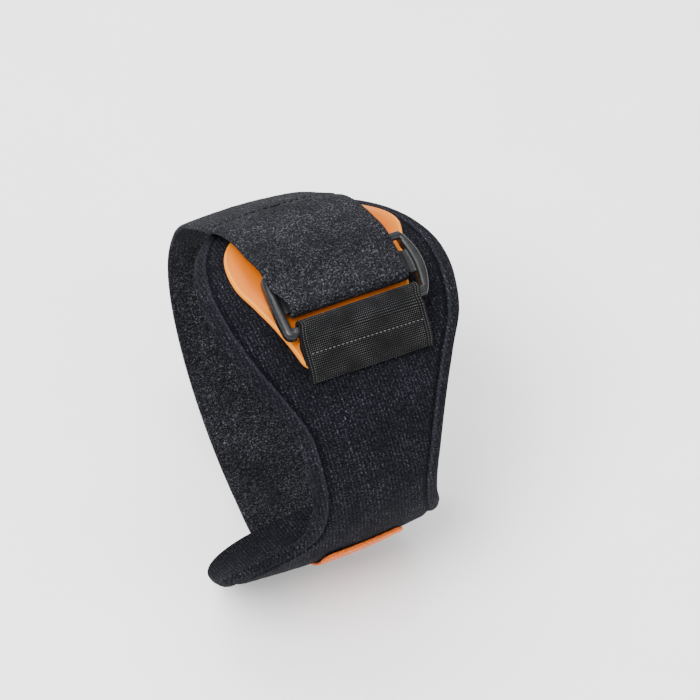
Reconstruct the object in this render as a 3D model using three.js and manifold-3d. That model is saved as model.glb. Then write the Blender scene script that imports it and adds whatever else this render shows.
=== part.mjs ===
// Tennis elbow strap, fastened as it is worn: a foam-backed velour body with an orange pressure
// plate, a three-bar ring held by an elastic loop, and a velour strap that folds round the
// ring's middle bar, passes over the top and round the back, and closes underneath with a
// hook tab. Millimetres. +X runs along the hollow towards its narrow end, +Z is up, -Y is the
// front. The origin is on the hollow's axis, level with the ring.
import * as THREE from 'three';
import { mergeVertices } from 'three/addons/utils/BufferGeometryUtils.js';
import Module from 'manifold-3d';

const wasm = await Module();
wasm.setup();

// The hollow: a tapered oval that every soft layer lies on.
const ovalHalfWidth = 55.2;
const ovalHalfHeight = 46.5;
const widthTaper = 0.147; // share of the half width lost in each 100 mm
const heightTaper = 0.338; // share of the half height lost in each 100 mm
const barrelling = 0.385; // share lost 100 mm either side of the middle
const frontLean = -0.042; // sideways run of the axis in each millimetre
const upLean = 0.01; // rise of the axis in each millimetre

// Cloth, foam, webbing and plate.
const clearance = 0.3;
const bodyThickness = 3.0;
const bodyHeadHalf = 40.0;
const bodyHeadArc = 40.0;
const bodyEndArc = 22.0;
const bodyDrift = 24.0;
const borderWidth = 6.5;
const plateThickness = 2.2;
const plateHalf = 29.2;
const plateHeadArc = 26.0;
const plateFootArc = 7.0;
const plateShift = -2.2;
const plateCant = 0.11; // degrees of turn for each millimetre across
const plateBulge = 0.11; // share of the width added to the head's right side
const plateBulgeTurn = -13;
const plateBulgeReach = 9;
const strapThickness = 1.4;
const strapNeckHalf = 19.9;
const strapNeckShift = -1.6;
const strapSaddleHalf = 21.65; // where it crosses the ring
const strapSaddleShift = -3.15;
const strapWideHalf = 24.0;
const strapTailHalf = 17.3;
const strapSideRun = 17.0;
const strapTailShift = 2.7;
const strapCurl = 2.9;
const strapLeftCurl = 0.15; // the left edge's curl as a share of the right edge's
const seamGroove = 0.6;
const webbingThickness = 1.2;
const webbingHalf = 20.4;
const webbingShift = -0.6;
const webbingFoldShift = -1.3;
const webbingKneeShift = -2.2; // where it leaves the bar
const webbingDrift = 1.2;
const tabThickness = 1.0;
const tabTipTurn = 104;
const tabRootTurn = 142;
const tabHalf = 13.8;
const tabCorner = 4.0;

// The ring, flat on the plate.
const ringTurn = 8.6;
const ringShift = -0.4;
const ringYaw = 3.0;
const ringHalfHeight = 11.7;
const ringHalfWidth = 25.7;
const ringInnerHalf = 22.5;
const ringEndHeight = 3.8;
const ringLean = 0.065; // sideways run of both ends in each millimetre towards the back
const barThickness = 2.0;
const lowerBarWidth = 3.5;
const middleBarWidth = 8.1;
const middleBarShift = 1.0;
const upperBarWidth = 2.7;

// Levels in the stack at the ring, measured to the middle of each layer.
const strapOnOval = clearance + strapThickness / 2;
const strapOnBody = bodyThickness + strapOnOval;
const plateBase = bodyThickness + clearance;
const plateTop = plateBase + plateThickness;
const strapOnPlate = plateTop + strapOnOval;
const barLevel = strapOnPlate + strapThickness / 2 + clearance + barThickness / 2;
const strapFoldRadius = barThickness / 2 + clearance + strapThickness / 2;
const webbingFoldRadius = barThickness / 2 + clearance + webbingThickness / 2;
const topRadius = ovalHalfWidth * ovalHalfWidth / ovalHalfHeight;
const arcPerDegree = ovalHalfWidth * Math.PI / 180;

const radians = THREE.MathUtils.degToRad;

// A point on the oval: turn in degrees from the top towards the front, x along the hollow,
// lift above the surface.
function wrap(turn, x, lift, barrel = barrelling) {
  const angle = radians(turn);
  const along = x / 100;
  const halfWidth = ovalHalfWidth * (1 - widthTaper * along - barrel * along * along);
  const halfHeight = ovalHalfHeight * (1 - heightTaper * along - barrel * along * along);
  const normal = new THREE.Vector2(-Math.sin(angle) / ovalHalfWidth, Math.cos(angle) / ovalHalfHeight);
  normal.normalize().multiplyScalar(lift);
  const y = frontLean * x - Math.sin(angle) * halfWidth + normal.x;
  const z = upLean * x + Math.cos(angle) * halfHeight + normal.y;
  return new THREE.Vector3(x, y, z);
}

// The ring's own frame: across its bars, towards the back, and out of the oval.
function ringFrame() {
  const origin = wrap(ringTurn, ringShift, 0);
  const across = wrap(ringTurn, ringShift + 1, 0, 0).sub(wrap(ringTurn, ringShift - 1, 0, 0)).normalize();
  const out = wrap(ringTurn, ringShift, 1).sub(origin);
  out.addScaledVector(across, -out.dot(across)).normalize();
  across.applyAxisAngle(out, radians(ringYaw));
  const back = new THREE.Vector3().crossVectors(out, across);
  return new THREE.Matrix4().makeBasis(across, back, out).setPosition(origin);
}

const seat = ringFrame();

function onSeat(x, back, level) {
  return new THREE.Vector3(x - ringShift, back, level).applyMatrix4(seat);
}

// A smooth curve through the rows of a table, read at any turn.
function readTable(rows, key, turn) {
  const last = rows.length - 1;
  let i = 0;
  while (i < last - 1 && turn > rows[i + 1].turn) {
    i += 1;
  }
  const slope = (k) => {
    const lo = Math.max(k - 1, 0);
    const hi = Math.min(k + 1, last);
    return (rows[hi][key] - rows[lo][key]) / (rows[hi].turn - rows[lo].turn);
  };
  const span = rows[i + 1].turn - rows[i].turn;
  const t = THREE.MathUtils.clamp((turn - rows[i].turn) / span, 0, 1);
  const t2 = t * t;
  const t3 = t2 * t;
  return (2 * t3 - 3 * t2 + 1) * rows[i][key] + (t3 - 2 * t2 + t) * span * slope(i)
    + (3 * t2 - 2 * t3) * rows[i + 1][key] + (t3 - t2) * span * slope(i + 1);
}

// Share of the full width left at a distance from a rounded end.
function roundEnd(distance, arc, fullness) {
  if (distance >= arc) {
    return 1;
  }
  const gone = 1 - Math.max(distance, 0) / arc;
  return Math.pow(1 - Math.pow(gone, fullness), 1 / fullness);
}

// A closed solid from two grids of points, outer and inner, with the same rows and columns.
// Columns run along +X, and rows run from the front over the top to the back.
function solidFromGrids(outer, inner) {
  const rows = outer.length;
  const columns = outer[0].length;
  const positions = [];
  for (const grid of [outer, inner]) {
    for (const row of grid) {
      for (const point of row) {
        positions.push(point.x, point.y, point.z);
      }
    }
  }
  const index = [];
  const at = (side, i, j) => side * rows * columns + i * columns + j;
  const quad = (a, b, c, d) => index.push(a, b, c, a, c, d);
  for (let i = 0; i < rows - 1; i += 1) {
    for (let j = 0; j < columns - 1; j += 1) {
      quad(at(0, i, j), at(0, i, j + 1), at(0, i + 1, j + 1), at(0, i + 1, j));
      quad(at(1, i, j), at(1, i + 1, j), at(1, i + 1, j + 1), at(1, i, j + 1));
    }
    quad(at(0, i, 0), at(0, i + 1, 0), at(1, i + 1, 0), at(1, i, 0));
    const edge = columns - 1;
    quad(at(0, i, edge), at(1, i, edge), at(1, i + 1, edge), at(0, i + 1, edge));
  }
  const end = rows - 1;
  for (let j = 0; j < columns - 1; j += 1) {
    quad(at(0, 0, j), at(1, 0, j), at(1, 0, j + 1), at(0, 0, j + 1));
    quad(at(0, end, j), at(0, end, j + 1), at(1, end, j + 1), at(1, end, j));
  }
  const geometry = new THREE.BufferGeometry();
  geometry.setAttribute('position', new THREE.Float32BufferAttribute(positions, 3));
  geometry.setIndex(index);
  geometry.computeVertexNormals();
  return geometry;
}

// A ribbon of even thickness about a grid of mid-surface points.
function ribbon(middle, thickness) {
  const rows = middle.length;
  const columns = middle[0].length;
  const outer = [];
  const inner = [];
  for (let i = 0; i < rows; i += 1) {
    outer.push([]);
    inner.push([]);
    for (let j = 0; j < columns; j += 1) {
      const along = middle[Math.min(i + 1, rows - 1)][j].clone().sub(middle[Math.max(i - 1, 0)][j]);
      const across = middle[i][Math.min(j + 1, columns - 1)].clone().sub(middle[i][Math.max(j - 1, 0)]);
      const normal = across.cross(along).normalize().multiplyScalar(thickness / 2);
      outer[i].push(middle[i][j].clone().add(normal));
      inner[i].push(middle[i][j].clone().sub(normal));
    }
  }
  return solidFromGrids(outer, inner);
}

function steps(from, to, count) {
  return Array.from({ length: count + 1 }, (_, i) => from + (to - from) * i / count);
}

// Rows closer together towards a rounded end, so that its outline stays round.
function easedSteps(from, to, count) {
  return steps(0, 1, count).map((t) => from + (to - from) * (1 - Math.cos(t * Math.PI / 2)));
}

// The body's border: pressed thin at the cut edge, a rounded welt, then a shallow channel.
const BORDER = [
  { reach: 0.0, height: 0.5 },
  { reach: 0.2, height: 0.86 },
  { reach: 0.42, height: 1.0 },
  { reach: 0.7, height: 0.87 },
  { reach: 1.0, height: 1.0 },
];

function borderHeight(distance) {
  const reach = Math.min(distance / borderWidth, 1);
  for (let k = 1; k < BORDER.length; k += 1) {
    if (reach <= BORDER[k].reach) {
      const t = (reach - BORDER[k - 1].reach) / (BORDER[k].reach - BORDER[k - 1].reach);
      return THREE.MathUtils.lerp(BORDER[k - 1].height, BORDER[k].height, t);
    }
  }
  return 1;
}

// The body's outline round the oval: half width as a share of the head's, and the middle
// line's shift towards the wide end of the hollow as a share of the drift.
const BODY_OUTLINE = [
  { turn: -44, half: 0.97, shift: 0.06 },
  { turn: -30, half: 0.97, shift: 0.06 },
  { turn: -14, half: 0.98, shift: 0.065 },
  { turn: 2, half: 0.994, shift: 0.081 },
  { turn: 12, half: 0.968, shift: 0.104 },
  { turn: 24, half: 0.891, shift: 0.135 },
  { turn: 36, half: 0.754, shift: 0.198 },
  { turn: 48, half: 0.634, shift: 0.26 },
  { turn: 60, half: 0.571, shift: 0.36 },
  { turn: 74, half: 0.53, shift: 0.458 },
  { turn: 84, half: 0.544, shift: 0.54 },
  { turn: 92, half: 0.6, shift: 0.63 },
  { turn: 98, half: 0.72, shift: 0.795 },
  { turn: 104, half: 0.835, shift: 0.945 },
  { turn: 112, half: 0.91, shift: 1.02 },
  { turn: 124, half: 0.93, shift: 1.02 },
  { turn: 158, half: 0.9, shift: 0.96 },
];

// Lengthwise folds in the body's neck: place across as a share of the half width.
const BODY_FOLDS = [
  { turn: 78, reach: 30, place: -0.52, width: 0.2, depth: 0.22 },
  { turn: 92, reach: 22, place: -0.12, width: 0.16, depth: 0.12 },
];

function foldDepth(turn, place) {
  return BODY_FOLDS.reduce((sum, fold) => {
    const along = (turn - fold.turn) / fold.reach;
    const over = (place - fold.place) / fold.width;
    return sum + fold.depth * Math.exp(-along * along - over * over);
  }, 0);
}

function makeBody() {
  const start = BODY_OUTLINE[0].turn;
  const end = BODY_OUTLINE[BODY_OUTLINE.length - 1].turn;
  const headTurns = easedSteps(start + 0.25, start + 24, 9);
  const midTurns = steps(start + 24, end - 20, 25).slice(1);
  const endTurns = easedSteps(end - 0.25, end - 20, 7).reverse().slice(1);
  const turns = [...headTurns, ...midTurns, ...endTurns].reverse();
  const outer = [];
  const inner = [];
  for (const turn of turns) {
    const fromHead = (turn - start) * arcPerDegree;
    const fromEnd = (end - turn) * arcPerDegree;
    const rounding = roundEnd(fromHead, bodyHeadArc, 2) * roundEnd(fromEnd, bodyEndArc, 2.4);
    const half = bodyHeadHalf * readTable(BODY_OUTLINE, 'half', turn) * rounding;
    const middle = -bodyDrift * readTable(BODY_OUTLINE, 'shift', turn);
    const border = Math.min(borderWidth, half * 0.6);
    const insets = BORDER.map((row) => row.reach * border);
    const inside = steps(-half + border, half - border, 6).slice(1, -1);
    const columns = [
      ...insets.map((inset) => -half + inset),
      ...inside,
      ...insets.map((inset) => half - inset).reverse(),
    ];
    outer.push(columns.map((offset) => {
      const distance = Math.min(half - Math.abs(offset), fromHead * 1.2, fromEnd * 1.2);
      const height = borderHeight(distance) - foldDepth(turn, offset / half);
      return wrap(turn, middle + offset, bodyThickness * height);
    }));
    inner.push(columns.map((offset) => wrap(turn, middle + offset, 0)));
  }
  return solidFromGrids(outer, inner);
}

// The pressure plate: a rounded egg with a flat rim and a low dome.
const PLATE_OUTLINE = [
  { turn: -29, half: 0.97 },
  { turn: -6, half: 0.965 },
  { turn: 3, half: 0.88 },
  { turn: 12, half: 0.785 },
  { turn: 22, half: 0.7 },
  { turn: 29.5, half: 0.66 },
];
const PLATE_RIM = [
  { inset: 0.0, height: 0.5 },
  { inset: 0.6, height: 0.68 },
  { inset: 1.8, height: 0.7 },
  { inset: 2.6, height: 0.8 },
];

function makePlate() {
  const start = PLATE_OUTLINE[0].turn;
  const end = PLATE_OUTLINE[PLATE_OUTLINE.length - 1].turn;
  const headTurns = easedSteps(start + 0.2, start + 20, 8);
  const midTurns = steps(start + 20, end - 6, 8).slice(1);
  const footTurns = easedSteps(end - 0.2, end - 6, 4).reverse().slice(1);
  const outer = [];
  const inner = [];
  for (const turn of [...headTurns, ...midTurns, ...footTurns].reverse()) {
    const fromHead = (turn - start) * arcPerDegree;
    const fromFoot = (end - turn) * arcPerDegree;
    const rounding = roundEnd(fromHead, plateHeadArc, 3) * roundEnd(fromFoot, plateFootArc, 3);
    const half = plateHalf * readTable(PLATE_OUTLINE, 'half', turn) * rounding;
    const inside = steps(-1, 1, 8).slice(1, -1);
    const rim = PLATE_RIM.map((row) => Math.min(row.inset, half * 0.3));
    const offsets = [
      ...rim.map((inset) => -half + inset),
      ...inside.map((share) => share * (half - rim[3])),
      ...rim.map((inset) => half - inset).reverse(),
    ];
    const ends = Math.min(fromHead, fromFoot);
    const bulge = plateBulge * Math.exp(-Math.pow((turn - plateBulgeTurn) / plateBulgeReach, 2));
    const place = (offset, lift) => {
      const across = offset > 0 ? offset * (1 + bulge) : offset;
      return wrap(turn - plateCant * across, plateShift + across, lift);
    };
    outer.push(offsets.map((offset) => {
      const distance = Math.min(half - Math.abs(offset), ends);
      const rimRow = PLATE_RIM.findLast((row) => distance >= row.inset - 1e-6);
      const dome = 1 - 0.2 * Math.pow(Math.max(1 - distance / plateHeadArc, 0), 2);
      const height = distance > PLATE_RIM[3].inset ? dome : rimRow.height;
      return place(offset, plateBase + plateThickness * height);
    }));
    inner.push(offsets.map((offset) => place(offset, plateBase)));
  }
  return solidFromGrids(outer, inner);
}

// A manifold solid from a closed three.js geometry.
function toSolid(geometry) {
  const bare = geometry.clone();
  bare.deleteAttribute('normal');
  bare.deleteAttribute('uv');
  const merged = mergeVertices(bare, 1e-4);
  return new wasm.Manifold(new wasm.Mesh({
    numProp: 3,
    vertProperties: new Float32Array(merged.attributes.position.array),
    triVerts: new Uint32Array(merged.index.array),
  }));
}

function toGeometry(solid) {
  const mesh = solid.getMesh();
  const geometry = new THREE.BufferGeometry();
  geometry.setAttribute('position', new THREE.Float32BufferAttribute(mesh.vertProperties, 3));
  geometry.setIndex(Array.from(mesh.triVerts));
  geometry.computeVertexNormals();
  return geometry;
}

// A bar of the ring: a rounded oblong section drawn out across the ring.
function makeBar(middle, width, reach) {
  const radius = barThickness / 2 - 0.001;
  const flat = width / 2 - radius;
  const section = new THREE.Shape();
  section.moveTo(-radius, -flat);
  section.absarc(0, -flat, radius, Math.PI, 2 * Math.PI, false);
  section.lineTo(radius, flat);
  section.absarc(0, flat, radius, 0, Math.PI, false);
  const settings = { depth: 2 * reach, bevelEnabled: false, curveSegments: 6 };
  const geometry = new THREE.ExtrudeGeometry(section, settings);
  geometry.translate(0, 0, -reach);
  geometry.rotateY(Math.PI / 2);
  geometry.translate(0, middle, barLevel);
  return geometry;
}

// The ring's ends: the right one is bowed, the left one nearly straight. lip is how far each
// reaches in past the inner edge, to meet the bars.
const RING_ENDS = [
  { side: 1, bow: 1.9, corner: 2.5, lip: 0.9 },
  { side: -1, bow: 0.3, corner: 3.0, lip: 0.7 },
];

// One end of the ring, rounded outside and hollowed inside.
function makeRingEnd({ side, bow, corner, lip }) {
  const bevel = 0.5;
  const rootX = ringInnerHalf - lip + bevel;
  const outerX = ringHalfWidth - bevel;
  const innerX = ringInnerHalf + bevel;
  const top = ringHalfHeight - bevel;
  const turnY = top - corner;
  const cornerX = outerX - bow - 2 * bow * corner / turnY;
  const lowerInner = -ringHalfHeight + lowerBarWidth;
  const upperInner = ringHalfHeight - upperBarWidth;
  const outline = new THREE.Shape();
  outline.moveTo(rootX, -top);
  outline.quadraticCurveTo(cornerX, -top, outerX - bow, -turnY);
  outline.quadraticCurveTo(outerX + bow, 0, outerX - bow, turnY);
  outline.quadraticCurveTo(cornerX, top, rootX, top);
  outline.lineTo(rootX, upperInner + bevel);
  outline.quadraticCurveTo(rootX, upperInner, innerX - bow / 2, upperInner - corner / 2);
  outline.quadraticCurveTo(innerX + bow / 2, 0, innerX - bow / 2, lowerInner + corner / 2);
  outline.quadraticCurveTo(rootX, lowerInner, rootX, lowerInner - bevel);
  outline.closePath();
  const settings = {
    depth: ringEndHeight - 2 * bevel,
    bevelEnabled: true,
    bevelThickness: bevel,
    bevelSize: bevel,
    bevelSegments: 2,
    curveSegments: 8,
  };
  const geometry = new THREE.ExtrudeGeometry(outline, settings);
  geometry.translate(0, 0, barLevel + barThickness / 2 - ringEndHeight + bevel);
  if (side < 0) {
    geometry.rotateZ(Math.PI);
  }
  return geometry;
}

function makeRing() {
  const parts = [
    ...RING_ENDS.map(makeRingEnd),
    makeBar(-ringHalfHeight + lowerBarWidth / 2, lowerBarWidth, ringInnerHalf - 0.3),
    makeBar(middleBarShift, middleBarWidth, ringInnerHalf + 1),
    makeBar(ringHalfHeight - upperBarWidth / 2, upperBarWidth, ringInnerHalf - 0.3),
  ];
  const solid = parts.map(toSolid).reduce((sum, piece) => sum.add(piece));
  const lean = new THREE.Matrix4().makeShear(0, 0, ringLean, 0, 0, 0);
  return toGeometry(solid).applyMatrix4(lean);
}

// Points of a half turn round a bar's edge, from under it to over it.
function foldAround(centre, radius, facing) {
  return steps(-90, 90, 8).map((angle) => ({
    back: centre + facing * radius * Math.cos(radians(angle)),
    level: barLevel + radius * Math.sin(radians(angle)),
  }));
}

// The strap's run away from the ring. rise is a share of the stack's height at the ring over
// the body, step a share of the body's own step, tab a share of the hook tab's; half is a
// share of the wide half width, drift of the strap's side run, curl of the edges' curl.
const STRAP_RUN = [
  { turn: -10, rise: 0.9, step: 1, tab: 0, half: 0.91, drift: 0.156, curl: 0, cant: 0.06 },
  { turn: -15, rise: 0.81, step: 1, tab: 0, half: 0.906, drift: 0.179, curl: 0.08, cant: 0.07 },
  { turn: -20, rise: 0.69, step: 1, tab: 0, half: 0.908, drift: 0.206, curl: 0.16, cant: 0.08 },
  { turn: -24, rise: 0.575, step: 1, tab: 0, half: 0.913, drift: 0.241, curl: 0.28, cant: 0.09 },
  { turn: -28, rise: 0.45, step: 1, tab: 0, half: 0.925, drift: 0.282, curl: 0.5, cant: 0.1 },
  { turn: -36, rise: 0.2, step: 1, tab: 0, half: 0.948, drift: 0.344, curl: 0.62, cant: 0.1 },
  { turn: -44, rise: 0.03, step: 1, tab: 0, half: 0.971, drift: 0.359, curl: 0.95, cant: 0.08 },
  { turn: -52, rise: 0, step: 0.82, tab: 0, half: 0.985, drift: 0.368, curl: 0.76, cant: 0.05 },
  { turn: -60, rise: 0, step: 0.42, tab: 0, half: 1, drift: 0.378, curl: 0.4, cant: 0.03 },
  { turn: -70, rise: 0, step: 0.08, tab: 0, half: 1, drift: 0.4, curl: 0.08, cant: 0 },
  { turn: -80, rise: 0, step: 0, tab: 0, half: 1, drift: 0.43, curl: 0, cant: 0 },
  { turn: -188, rise: 0, step: 0, tab: 0, half: 1, drift: 0.86, curl: 0, cant: 0 },
  { turn: -194, rise: 0, step: 0.12, tab: 0, half: 1, drift: 0.89, curl: 0, cant: 0 },
  { turn: -202, rise: 0, step: 1, tab: 0, half: 0.98, drift: 0.92, curl: 0, cant: 0 },
  { turn: -212, rise: 0, step: 1, tab: 0, half: 0.9, drift: 0.96, curl: 0, cant: 0 },
  { turn: -218, rise: 0, step: 1, tab: 1, half: 0.8, drift: 0.98, curl: 0, cant: 0 },
  { turn: -225, rise: 0, step: 1, tab: 1, half: 0.7, drift: 1, curl: 0, cant: 0 },
].map((row) => ({ ...row, turn: -row.turn }));

// The plies' cross seam behind the plate.
const seamTurn = 31.5;
const seamReach = 1.2;
const strapEndTurn = 225;

function strapLift(turn) {
  const rise = readTable(STRAP_RUN, 'rise', turn);
  const step = readTable(STRAP_RUN, 'step', turn);
  const tab = readTable(STRAP_RUN, 'tab', turn);
  const overBars = barLevel + strapFoldRadius + ringHalfHeight * ringHalfHeight / (2 * topRadius);
  const dent = seamGroove * Math.exp(-Math.pow((turn - seamTurn) / seamReach, 2));
  return strapOnOval + rise * (overBars - strapOnBody) + step * (strapOnBody - strapOnOval)
    + tab * (tabThickness + clearance) - dent;
}

function makeStrap() {
  const shares = steps(-1, 1, 10);
  const middle = [];
  const foldCentre = middleBarShift - middleBarWidth / 2 + barThickness / 2;

  // Under ply, from its cut end behind the plate to the ring. rise is a share of the step up
  // onto the plate, shift a share of the tail's shift.
  const tail = [
    { turn: 33.2, rise: 0.06, cant: 0.1, shift: 1 },
    { turn: 31.5, rise: 0.14, cant: 0.1, shift: 0.98 },
    { turn: 30, rise: 0.32, cant: 0.1, shift: 0.96 },
    { turn: 28.6, rise: 0.66, cant: 0.095, shift: 0.93 },
    { turn: 27, rise: 0.84, cant: 0.09, shift: 0.89 },
    { turn: 25, rise: 0.95, cant: 0.085, shift: 0.81 },
    { turn: 22, rise: 1, cant: 0.08, shift: 0.74 },
    { turn: 17, rise: 1, cant: 0.07, shift: 0.59 },
    { turn: 11, rise: 1, cant: 0.06, shift: 0.44 },
  ];
  for (const row of tail) {
    middle.push(shares.map((share) => {
      const offset = share * strapTailHalf;
      const lift = THREE.MathUtils.lerp(strapOnBody, strapOnPlate, row.rise);
      return wrap(-row.turn - row.cant * offset, offset - strapTailShift * row.shift, lift);
    }));
  }
  for (const back of [ringHalfHeight, ringHalfHeight - upperBarWidth, ringHalfHeight / 2, foldCentre + 2]) {
    const near = (back - foldCentre) / (ringHalfHeight - foldCentre);
    const half = THREE.MathUtils.lerp(strapNeckHalf, strapTailHalf, Math.min(near * 1.4, 1));
    const level = strapOnPlate - back * back / (2 * topRadius);
    middle.push(shares.map((share) => onSeat(strapNeckShift + share * half, back, level)));
  }

  // The fold round the middle bar, then the outer ply over the ring.
  for (const point of foldAround(foldCentre, strapFoldRadius, -1)) {
    const across = (share) => strapNeckShift + share * strapNeckHalf;
    middle.push(shares.map((share) => onSeat(across(share), point.back, point.level)));
  }
  const overLevel = barLevel + strapFoldRadius;
  const saddleBacks = [foldCentre + 2 * strapThickness, ringHalfHeight / 2, ringHalfHeight - upperBarWidth];
  for (const back of [...saddleBacks, ringHalfHeight - 0.4]) {
    const run = (back - foldCentre) / (ringHalfHeight - foldCentre);
    const near = THREE.MathUtils.clamp(1.9 * (run - 0.1), 0, 1);
    const half = THREE.MathUtils.lerp(strapNeckHalf, strapSaddleHalf, near);
    const shift = THREE.MathUtils.lerp(strapNeckShift, strapSaddleShift, near);
    middle.push(shares.map((share) => onSeat(shift + share * half, back, overLevel)));
  }
  const nearTurns = steps(10, 28, 6);
  const seamTurns = [29.4, 30.4, 31, seamTurn, 32, 32.6, 34];
  const topTurns = steps(36, 80, 13);
  const backTurns = steps(86, 188, 14);
  const underTurns = steps(191, strapEndTurn, 15);
  for (const turn of [...nearTurns, ...seamTurns, ...topTurns, ...backTurns, ...underTurns]) {
    const cornerLeft = roundEnd((strapEndTurn - turn + 0.4) * arcPerDegree, tabCorner, 2.2);
    const half = strapWideHalf * readTable(STRAP_RUN, 'half', turn) * (0.75 + 0.25 * cornerLeft);
    const shift = -strapSideRun * readTable(STRAP_RUN, 'drift', turn);
    const cant = readTable(STRAP_RUN, 'cant', turn);
    const curl = strapCurl * readTable(STRAP_RUN, 'curl', turn);
    middle.push(shares.map((share) => {
      const offset = share * half;
      const fall = curl * Math.pow(share, 4) * (share < 0 ? strapLeftCurl : 1);
      return wrap(-turn - cant * offset, shift + offset, strapLift(turn) - fall);
    }));
  }
  return ribbon(middle, strapThickness);
}

// The elastic loop: its under ply, the fold round the ring's lower bar, and the outer ply that
// runs down to its sewn edge on the body.
function makeElasticLoop() {
  const shares = steps(-1, 1, 6);
  const middle = [];
  const onBody = bodyThickness + clearance + webbingThickness / 2;
  const onPlate = plateTop + clearance + webbingThickness / 2;
  const foldCentre = -ringHalfHeight + lowerBarWidth - barThickness / 2;
  const place = (turn, lift) => {
    const shift = webbingShift - webbingDrift * (turn - 15) / 20;
    return shares.map((share) => wrap(turn, shift + share * webbingHalf, lift));
  };
  const underTurns = [
    { turn: 27.6, lift: onPlate - 0.1 },
    { turn: 25.8, lift: onPlate - 0.04 },
    { turn: 24, lift: onPlate },
    { turn: 22.2, lift: onPlate },
  ];
  for (const row of underTurns) {
    middle.push(place(row.turn, row.lift));
  }
  const seated = (point, shift = webbingFoldShift) => (
    shares.map((share) => onSeat(shift + share * webbingHalf, point.back, point.level))
  );
  const underBar = onPlate - foldCentre * foldCentre / (2 * topRadius);
  middle.push(seated({ back: -ringHalfHeight + 0.2, level: underBar }));
  for (const point of foldAround(foldCentre, webbingFoldRadius, 1)) {
    middle.push(seated(point));
  }
  const overLevel = barLevel + webbingFoldRadius;
  middle.push(seated({ back: -ringHalfHeight + 0.4, level: overLevel - 0.05 }, webbingKneeShift));
  const overBar = overLevel + ringHalfHeight * ringHalfHeight / (2 * topRadius) - onBody;
  const OUTER_PLY = [
    { turn: 21.4, height: 0.97 },
    { turn: 22.6, height: 0.86 },
    { turn: 24.2, height: 0.74 },
    { turn: 26, height: 0.62 },
    { turn: 27.6, height: 0.52 },
    { turn: 29.2, height: 0.42 },
    { turn: 30.6, height: 0.29 },
    { turn: 31.8, height: 0.1 },
    { turn: 32.6, height: 0.02 },
  ];
  for (const row of OUTER_PLY) {
    middle.push(place(row.turn, onBody + row.height * overBar));
  }
  return ribbon(middle, webbingThickness);
}

// The hook tab on the body's underside, its tip towards the front.
function makeHookTab() {
  const tipTurns = easedSteps(tabTipTurn + 0.1, tabTipTurn + 6, 5);
  const turns = [...tipTurns, ...steps(tabTipTurn + 6, tabRootTurn, 12).slice(1)].reverse();
  const shares = steps(-1, 1, 6);
  const base = bodyThickness + clearance;
  const place = (turn, lift) => {
    const half = tabHalf - tabCorner + tabCorner * roundEnd((turn - tabTipTurn) * arcPerDegree, tabCorner, 2);
    return shares.map((share) => wrap(turn, -strapSideRun + share * half, lift));
  };
  const outer = turns.map((turn) => place(turn, base + tabThickness));
  const inner = turns.map((turn) => place(turn, base));
  return solidFromGrids(outer, inner);
}

function addPiece(group, name, geometry, color, roughness) {
  const material = new THREE.MeshStandardMaterial({ color, roughness, metalness: 0 });
  const mesh = new THREE.Mesh(geometry, material);
  mesh.name = name;
  group.add(mesh);
  return mesh;
}

const strap = new THREE.Group();
addPiece(strap, 'body', makeBody(), 0x1a1b22, 0.95);
addPiece(strap, 'pressure_plate', makePlate(), 0xe8913a, 0.4);
const ring = addPiece(strap, 'ring', makeRing(), 0x2a2d30, 0.35);
ring.applyMatrix4(seat);
addPiece(strap, 'elastic_loop', makeElasticLoop(), 0x22242a, 0.85);
addPiece(strap, 'strap', makeStrap(), 0x26272d, 0.95);
addPiece(strap, 'hook_tab', makeHookTab(), 0xe8924e, 0.8);

export default strap;
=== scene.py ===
# Looks of the tennis elbow strap: velour body and strap, orange pressure plate, moulded ring,
# ribbed elastic loop, hook tab and thread. Shapes are worked out in millimetres, in the frame
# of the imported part, and make_object turns them into metres.
import math

import bpy
import numpy as np
from mathutils import Matrix, Vector


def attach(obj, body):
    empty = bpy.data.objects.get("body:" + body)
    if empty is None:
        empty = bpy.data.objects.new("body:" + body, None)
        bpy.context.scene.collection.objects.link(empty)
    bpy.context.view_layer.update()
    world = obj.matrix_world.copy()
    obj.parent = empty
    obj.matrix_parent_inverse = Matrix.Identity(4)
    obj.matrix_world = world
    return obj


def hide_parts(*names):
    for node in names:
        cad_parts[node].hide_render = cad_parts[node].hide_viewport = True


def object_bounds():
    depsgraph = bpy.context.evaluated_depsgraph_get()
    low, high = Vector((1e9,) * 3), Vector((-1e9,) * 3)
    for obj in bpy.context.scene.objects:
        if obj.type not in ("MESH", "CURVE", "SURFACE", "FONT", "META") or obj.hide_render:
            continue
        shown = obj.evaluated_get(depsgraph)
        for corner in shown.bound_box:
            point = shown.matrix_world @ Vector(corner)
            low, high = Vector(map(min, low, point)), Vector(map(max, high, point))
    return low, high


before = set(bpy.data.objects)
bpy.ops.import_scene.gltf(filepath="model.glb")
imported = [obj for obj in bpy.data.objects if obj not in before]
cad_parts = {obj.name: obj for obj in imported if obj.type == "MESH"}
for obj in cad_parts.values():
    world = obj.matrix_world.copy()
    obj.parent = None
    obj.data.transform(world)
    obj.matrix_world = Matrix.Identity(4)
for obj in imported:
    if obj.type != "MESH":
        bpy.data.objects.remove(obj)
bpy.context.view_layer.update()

MM = 0.001
IMAGE = 700

# The hollow: a tapered oval that every soft layer lies on.
OVAL_HALF_WIDTH = 55.2
OVAL_HALF_HEIGHT = 46.5
WIDTH_TAPER = 0.147
HEIGHT_TAPER = 0.338
BARRELLING = 0.385
FRONT_LEAN = -0.042
UP_LEAN = 0.01

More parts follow.
